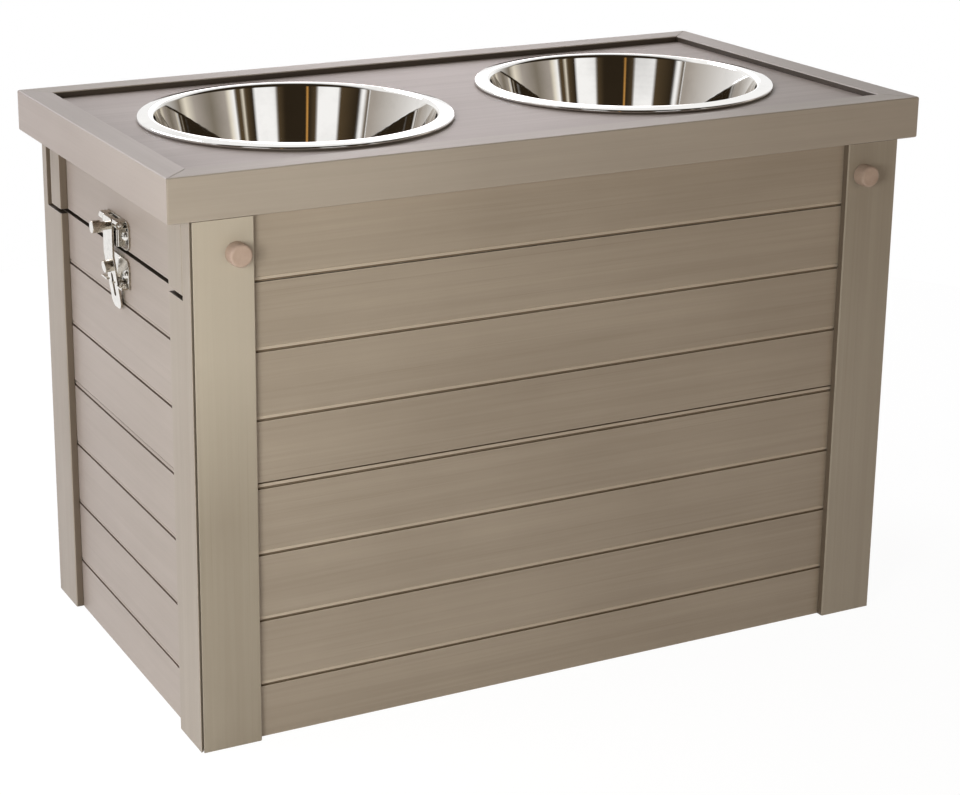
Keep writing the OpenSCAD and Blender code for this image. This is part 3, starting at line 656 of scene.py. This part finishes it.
# %% [markdown]
# ## Turned pieces
# Bowls, pegs, knobs and screw heads are all round. On a lathe the maker holds a tool against a
# spinning blank. Here we do the same with rings: a disc is the start, and its rim is extruded, moved
# and resized again and again along the outline. A Screw modifier would do it too, but with rings each
# step can be followed. The outline runs from the middle of the top out, round, and back underneath.

# %% A lathe
along_y = (math.radians(90), 0, 0)


def arc(centre, radius, start, end, steps):
    turn = [math.radians(start + (end - start) * i / steps) for i in range(steps + 1)]
    return [(centre[0] + radius * math.cos(a), centre[1] + radius * math.sin(a)) for a in turn]


def turned(name, outline, steps):
    alone(None)
    (radius, height), rest = outline[0], outline[1:]
    bpy.ops.mesh.primitive_circle_add(
        vertices=steps, radius=radius, fill_type="TRIFAN", location=(0, 0, height)
    )
    piece = bpy.context.object
    piece.name = name
    bpy.ops.object.transform_apply(location=True, rotation=True, scale=True)
    bpy.ops.object.mode_set(mode="EDIT")
    bpy.ops.mesh.select_mode(type="EDGE")
    bpy.ops.mesh.select_all(action="DESELECT")
    bpy.ops.mesh.select_non_manifold()
    for new_radius, new_height in rest:
        rise = (0, 0, new_height - height)
        bpy.ops.mesh.extrude_region_move(TRANSFORM_OT_translate={"value": rise})
        scale = new_radius / radius
        bpy.ops.transform.resize(value=(scale, scale, 1), center_override=(0, 0, new_height))
        radius, height = new_radius, new_height
    bpy.ops.mesh.edge_face_add()
    bpy.ops.mesh.poke()
    bpy.ops.mesh.select_all(action="SELECT")
    bpy.ops.mesh.normals_make_consistent(inside=False)
    bpy.ops.object.mode_set(mode="OBJECT")
    return piece


def set_down(piece, place, turn=(0, 0, 0)):
    alone(piece)
    piece.rotation_euler = turn
    piece.location = place
    bpy.ops.object.transform_apply(location=True, rotation=True, scale=True)


print("the lathe is ready")

# %% [markdown]
# ## The bowls
# A feeding bowl is pressed from one sheet of steel. Its rim slopes gently down from a rounded shoulder
# and ends in a small rolled edge, which lies on the tray's panel. The wall leans in towards a flat
# floor with a wide round corner. The outline below is the section of that sheet, in metres, first
# over the upper face and then back along the lower one.

# %% Turn the bowls
sheet_t, opening_r, rim_r = 0.001, 0.1045, 0.11775
shoulder, roll_r, depth, corner = 0.003, 0.0015, 0.062, 0.018
lean, slope, seat, flat_r = 14.0, 8.0, 0.0003, 0.03


def bowl_outline():
    up = (math.sin(math.radians(slope)), math.cos(math.radians(slope)))
    out_from_axis = (math.cos(math.radians(lean)), -math.sin(math.radians(lean)))
    roll = (rim_r - roll_r, seat + roll_r)
    bend_x = opening_r + shoulder + sheet_t
    bend_z = (up[0] * (roll[0] - bend_x) + up[1] * roll[1] + roll_r - shoulder - sheet_t) / up[1]
    corner_z = -depth + corner
    along = out_from_axis[0] * bend_x + out_from_axis[1] * bend_z
    corner_out = along - shoulder - sheet_t - corner
    corner_x = (corner_out - out_from_axis[1] * corner_z) / out_from_axis[0]
    roll_end = -180 - slope - math.degrees(math.asin((roll_r - sheet_t) / roll_r))
    return (
        [(flat_r, -depth)]
        + arc((corner_x, corner_z), corner, -90, -lean, 16)
        + arc((bend_x, bend_z), shoulder + sheet_t, 180 - lean, 90 - slope, 20)
        + arc(roll, roll_r, 90 - slope, roll_end, 18)
        + arc((bend_x, bend_z), shoulder, 90 - slope, 180 - lean, 10)
        + arc((corner_x, corner_z), corner + sheet_t, -lean, -90, 12)
        + [(flat_r, -depth - sheet_t)]
    )


panel_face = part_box("top_panel")[1].z
for bowl, middle in bowl_places.items():
    piece = turned(bowl + "_spun", bowl_outline(), 256)
    set_down(piece, (middle.x, middle.y, panel_face))
    smooth(piece, 50)
    finished(piece, bowl, bowl_steel[bowl])
    print(piece.name, len(piece.data.polygons), "faces")

# %% [markdown]
# ## The pegs
# Each front post has a short round peg near its top. It has a small round on its edge and a shank in
# the post. It is turned like the bowls, with the steps of its shoulder kept.

# %% Turn the pegs
def peg_outline(radius, length, shank_r, bore_l, soft):
    return (
        [(radius * 0.35, length + 0.0001), (radius * 0.7, length)]
        + arc((radius - soft, length - soft), soft, 90, 0, 6)
        + [(radius, 0.0002), (radius - 0.0003, 0.0), (shank_r, 0.0), (shank_r, -bore_l)]
    )


shank_r, peg_soft = 0.004, 0.0018
for side in ("left", "right"):
    low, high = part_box(side + "_peg")
    post_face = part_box(f"front_{side}_post_front")[0].y
    radius = (high.x - low.x) / 2
    outline = peg_outline(radius, post_face - low.y, shank_r, high.y - post_face, peg_soft)
    piece = turned(side + "_peg_turned", outline, 64)
    set_down(piece, ((low.x + high.x) / 2, post_face, (low.z + high.z) / 2), along_y)
    smooth(piece, 35)
    finished(piece, side + "_peg", peg_plastic)
    print(piece.name, tuple(round(c, 4) for c in piece.dimensions))

# %% [markdown]
# ## Blocks, picks and cutters
# The latch is sheet metal: plates, a bent strap and rolled knuckles. Its pieces start as cubes of the
# right size, and faces or edges are picked by where they are or which way they point, as one would
# click them. A slot or a screw's cross is cut with a Boolean modifier, as with a punch. Places on the
# latch are given as it is measured: how far out of the wall and how far along it in millimetres, and
# the height in metres. Only the left latch is built, and each finished piece is copied and mirrored.

# %% Helpers for sheet metal
def block(name, low, high):
    alone(None)
    low, high = Vector(low), Vector(high)
    bpy.ops.mesh.primitive_cube_add(size=1, location=(low + high) / 2, scale=high - low)
    piece = bpy.context.object
    piece.name = name
    bpy.ops.object.transform_apply(location=True, rotation=True, scale=True)
    return piece


def pick(piece, kind, test):
    alone(piece)
    bpy.ops.object.mode_set(mode="EDIT")
    bpy.ops.mesh.select_mode(type=kind)
    bpy.ops.mesh.select_all(action="DESELECT")
    bpy.ops.object.mode_set(mode="OBJECT")
    for part in piece.data.polygons if kind == "FACE" else piece.data.edges:
        part.select = test(part)
    bpy.ops.object.mode_set(mode="EDIT")


def edge_ends(piece, edge):
    return [piece.data.vertices[i].co for i in edge.vertices]


def round_corners(piece, radius, test=lambda middle: True, steps=7):
    def lies_along_x(edge):
        a, b = edge_ends(piece, edge)
        return abs(a.y - b.y) + abs(a.z - b.z) < 1e-6 and test((a + b) / 2)

    pick(piece, "EDGE", lies_along_x)
    bpy.ops.mesh.bevel(offset=radius, segments=steps, affect="EDGES")
    bpy.ops.object.mode_set(mode="OBJECT")


def cut_with(piece, cutter):
    alone(piece)
    knife = piece.modifiers.new("cut", "BOOLEAN")
    knife.operation, knife.object, knife.solver = "DIFFERENCE", cutter, "EXACT"
    bpy.ops.object.modifier_apply(modifier="cut")
    bpy.data.objects.remove(cutter)


def joined(name, pieces):
    alone(pieces[0])
    for piece in pieces:
        piece.select_set(True)
    bpy.ops.object.join()
    pieces[0].name = name
    return pieces[0]


def mirrored(piece, name):
    twin = bpy.data.objects.new(name, piece.data.copy())
    bpy.context.scene.collection.objects.link(twin)
    alone(twin)
    bpy.ops.object.mode_set(mode="EDIT")
    bpy.ops.mesh.select_all(action="SELECT")
    bpy.ops.transform.resize(value=(-1, 1, 1), center_override=(0, 0, 0))
    bpy.ops.mesh.flip_normals()
    bpy.ops.object.mode_set(mode="OBJECT")
    return twin


def finished_pair(piece, node, material, tones=()):
    finished(piece, node, material, tones)
    twin = mirrored(piece, piece.name.replace("left", "right"))
    finished(twin, node.replace("left", "right"), material, tones)


def looks_aside(face):
    return abs(face.normal.x) < 0.5


def looks_out(face):
    return abs(face.normal.x) > straight


# Faces that turn aside get the darker steel, a painted dark reflection; the knob and stud keep the
# plain plating only on their outer ends.
sheet_tones, stud_tones = [(bar_steel, looks_aside)], [(plated_steel, looks_out)]
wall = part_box("left_hasp_plate")[1].x
latch_y = sum(c.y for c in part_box("left_hasp_plate")) / 2
hasp_low, hasp_high = (c.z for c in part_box("left_hasp_plate"))
keeper_low, keeper_high = (c.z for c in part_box("left_keeper"))


def at(out, side, up):
    return (wall - out / 1000, latch_y + side / 1000, up)


def slab(name, out_from, out_to, side_from, side_to, low, high):
    return block(name, at(out_to, side_from, low), at(out_from, side_to, high))


def tube(name, inner_r, outer_r, length):
    return turned(name, [(inner_r, 0), (outer_r, 0), (outer_r, length), (inner_r, length)], 40)


print("latch at y", round(latch_y, 4), "wall face x", round(wall, 4))

# %% [markdown]
# ## The latch's plates
# The upper plate is screwed to the lid. Its top edge is rolled round the hinge pin on both sides of
# the arm, and behind the arm the sheet is pressed out into a low saddle, which stiffens it. The lower
# plate, the keeper, is screwed to the box. Its foot is bent out into a lip with a notch for the arm
# and a tongue in the middle.

# %% Shape the upper plate
pin_out, pin_r, eye_r, arm_half = 5.6, 1.5, 3.0, 9.7
plate_t, plate_round, hasp_half = 1.6, 0.006, 25
notch_half, knuckle_end, knuckle_l, saddle_half = 10.2, 18.7, 0.0085, 12.2
pin_z = hasp_high - eye_r / 1000
hasp = slab("hasp_sheet", 0, plate_t, -hasp_half, hasp_half, hasp_low, hasp_high)
round_corners(hasp, plate_round)
rounded_edges(hasp, 0.00035, 3)
knuckles = []
for side in (-1, 1):
    near, far = sorted((side * notch_half, side * knuckle_end))
    outer = tube("knuckle", pin_r / 1000, eye_r / 1000, knuckle_l)
    set_down(outer, at(pin_out, far, pin_z), along_y)
    rounded_edges(outer, 0.00025)
    knuckles.append(outer)
    for name, low, high in (("web", -0.003, -0.0016), ("web_top", 0.0014, 0.003)):
        web = slab(name, 0.4, pin_out, near, far, pin_z + low, pin_z + high)
        rounded_edges(web, 0.0003)
        knuckles.append(web)
saddle_low, saddle_high = hasp_low + 0.0014, hasp_low + 0.0143
saddle = slab("saddle", 1.2, 6.0, -saddle_half, saddle_half, saddle_low, saddle_high)


def stands_upright(edge):
    a, b = edge_ends(saddle, edge)
    return abs(a.z - b.z) > 0.01 and (a.x + b.x) / 2 < wall - 0.003


pick(saddle, "EDGE", stands_upright)
bpy.ops.mesh.bevel(offset=0.0042, segments=8, affect="EDGES")
bpy.ops.object.mode_set(mode="OBJECT")
rounded_edges(saddle, 0.0005, 3, 40)
hasp = joined("left_hasp_pressed", [hasp] + knuckles + [saddle])
finished_pair(hasp, "left_hasp_plate", plated_steel, sheet_tones)
print(hasp.name, len(hasp.data.polygons), "faces")

# %% Shape the keeper
keeper_half, lip_half, tongue_half, lip_out, lip_t = 23, 22, 1.8, 6.9, 0.0014
keeper = slab("keeper_sheet", 0, plate_t, -keeper_half, keeper_half, keeper_low, keeper_high)
round_corners(keeper, plate_round, lambda middle: middle.z > keeper_low + 0.01)
rounded_edges(keeper, 0.00035, 3)
lip_sides = (
    ("lip_front", -lip_half, -notch_half),
    ("lip_tongue", -tongue_half, tongue_half),
    ("lip_back", notch_half, lip_half),
)
lips = []
for name, side_from, side_to in lip_sides:
    lip = slab(name, 0.5, lip_out, side_from, side_to, keeper_low, keeper_low + lip_t)
    rounded_edges(lip, 0.0004, 3)
    lips.append(lip)
keeper = joined("left_keeper_pressed", [keeper] + lips)
finished_pair(keeper, "left_keeper", plated_steel, sheet_tones)
print(keeper.name, len(keeper.data.polygons), "faces")

# %% [markdown]
# ## The latch's arm
# The arm is a flat strap. It hangs on the pin by a rolled eye, runs straight down past the parting
# gap, and then leans in towards the box. It ends in a round tip with a long slot, which goes over the
# keeper's tongue. The strap is extruded from one small block, step by step, so that the lean and the
# round tip stay in one smooth sheet. Then the slot is punched, and the eye is joined on.

# %% Bend the strap
arm_face, arm_t, bend_drop, arm_lean = 8.6, 1.6, 25.0, math.radians(8)
end_l, tip_round = 42.0, 7.0


def on_arm(drop):
    """A point on the leaning end's outer face; drop is counted down from the bend."""
    out = arm_face - drop * math.sin(arm_lean)
    return out, pin_z - (bend_drop + drop * math.cos(arm_lean)) / 1000


arm_top, arm_bend = pin_z + 0.0029, pin_z - bend_drop / 1000
arm = slab("left_arm_bent", arm_face - arm_t, arm_face, -arm_half, arm_half, arm_bend, arm_top)
tip_steps = [math.radians(a) for a in (0, 15, 30, 45, 60, 75, 86)]
straight_l, straight_half = end_l - tip_round, arm_half - tip_round
rings = [
    (straight_l + tip_round * math.sin(a), straight_half + tip_round * math.cos(a))
    for a in tip_steps
]
pick(arm, "FACE", lambda face: face.normal.z < -0.9)
drop_now, half_now = 0.0, arm_half
for drop_next, half_next in rings:
    step = (drop_next - drop_now) / 1000
    move = (step * math.sin(arm_lean), 0, -step * math.cos(arm_lean))
    bpy.ops.mesh.extrude_region_move(TRANSFORM_OT_translate={"value": move})
    bpy.ops.transform.resize(value=(1, half_next / half_now, 1), center_override=(0, latch_y, 0))
    drop_now, half_now = drop_next, half_next
bpy.ops.object.mode_set(mode="OBJECT")
round_corners(arm, 0.0025, lambda middle: middle.z > pin_z, 4)
slot_top, slot_low, slot_half = 14.6, 32.8, 2.3
out_a, z_a = on_arm(slot_top)
out_b, z_b = on_arm(slot_low)
punch = slab("punch", out_b - 6, out_a + 6, -slot_half, slot_half, z_b, z_a)
round_corners(punch, 0.00225, steps=6)
cut_with(arm, punch)
rounded_edges(arm, 0.0003, 3, 35)
eye = tube("eye", (pin_r + 0.1) / 1000, eye_r / 1000, 2 * arm_half / 1000)
set_down(eye, at(pin_out, arm_half, pin_z), along_y)
rounded_edges(eye, 0.00025)
arm = joined("left_arm_bent", [arm, eye])
finished_pair(arm, "left_latch_arm", plated_steel, sheet_tones)
print(arm.name, len(arm.data.polygons), "faces")

# %% [markdown]
# ## Knob, stud, pin and screws
# A knob with a neck at the top of the arm is there to pull it, and a stud above the slot keeps it from
# rattling. Both are turned from bar, so their edges are broken and their faces slightly domed. The
# screws are dome-headed with a cross.

# %% Turn the knob and the stud
def bar_end(neck_r, neck_l, head_r, head_l, soft):
    total = neck_l + head_l
    outline = [(head_r * 0.3, total + 0.00012), (head_r * 0.7, total + 0.00006)]
    outline += arc((head_r - soft, total - soft), soft, 90, 0, 5)
    if neck_l > 0:
        outline += arc((head_r - soft, neck_l + soft), soft, 0, -90, 4)
        outline += [(neck_r + 0.0003, neck_l), (neck_r, neck_l - 0.0003)]
    return outline + [(neck_r, 0.0)]


out_of_wall = math.radians(-90)
knob = turned("knob", bar_end(0.0032, 0.0054, 0.0046, 0.0066, 0.0005), 56)
set_down(knob, at(arm_face, 0, pin_z - 0.0038), (0, out_of_wall, 0))
stud = turned("stud", bar_end(0.0046, 0.0, 0.0046, 0.005, 0.0005), 56)
stud_out, stud_z = on_arm(9.0)
set_down(stud, at(stud_out, 0, stud_z), (0, out_of_wall - arm_lean, 0))
studs = joined("left_studs_turned", [knob, stud])
smooth(studs, 35)
finished_pair(studs, "left_arm_studs", bar_steel, stud_tones)
print(studs.name, [round(c, 4) for c in studs.dimensions])

# %% Turn the hinge pins
pin_half = (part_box("left_hinge_pin")[1].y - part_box("left_hinge_pin")[0].y) / 2
pin_end = [(0.0006, pin_half), (0.0012, pin_half - 0.0002), (0.0015, pin_half - 0.0005)]
other_end = [(radius, -height) for radius, height in reversed(pin_end)]
pin = turned("left_pin_turned", pin_end + other_end, 40)
set_down(pin, at(pin_out, 0, pin_z), along_y)
smooth(pin, 35)
finished_pair(pin, "left_hinge_pin", screw_steel)
print(pin.name, round(pin_half * 2, 4), "long")

# %% Turn the plate screws
def dome_screw(name, place):
    dome = [(0.0010, 0.0026), (0.0018, 0.00235), (0.0026, 0.0019), (0.0033, 0.0012),
            (0.0038, 0.0006), (0.004, 0.0)]
    screw = turned(name, dome + [(0.0015, 0.0), (0.0015, -0.0088)], 40)
    for x, y in ((0.0018, 0.00035), (0.00035, 0.0018)):
        cut_with(screw, block("cross", (-x, -y, 0.0012), (x, y, 0.004)))
    set_down(screw, place, (0, out_of_wall, 0))
    smooth(screw, 30)
    return screw


screw_side = 18
screw_rows = (("hasp_screws", hasp_low, hasp_high), ("keeper_screws", keeper_low, keeper_high))
for node, low, high in screw_rows:
    middle = (low + high) / 2
    screws = [
        dome_screw(f"{node}_{side}", at(plate_t, side, middle))
        for side in (-screw_side, screw_side)
    ]
    screws = joined(node + "_left", screws)
    finished_pair(screws, node, screw_steel)
    print(screws.name, len(screws.data.polygons), "faces")

# %% [markdown]
# ## Check and finish
# Last we compare the box of what is seen with the box of the solids. They should agree to a fraction
# of a millimetre, because a dressed piece that grows past its solid would no longer fit its shelf.

# %% Measure and finish
seen_low, seen_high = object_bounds()
cad_sides, seen_sides = [*cad_low, *cad_high], [*seen_low, *seen_high]
largest = max(abs(a - b) for a, b in zip(cad_sides, seen_sides))
print("largest difference, mm:", round(largest * 1000, 3))
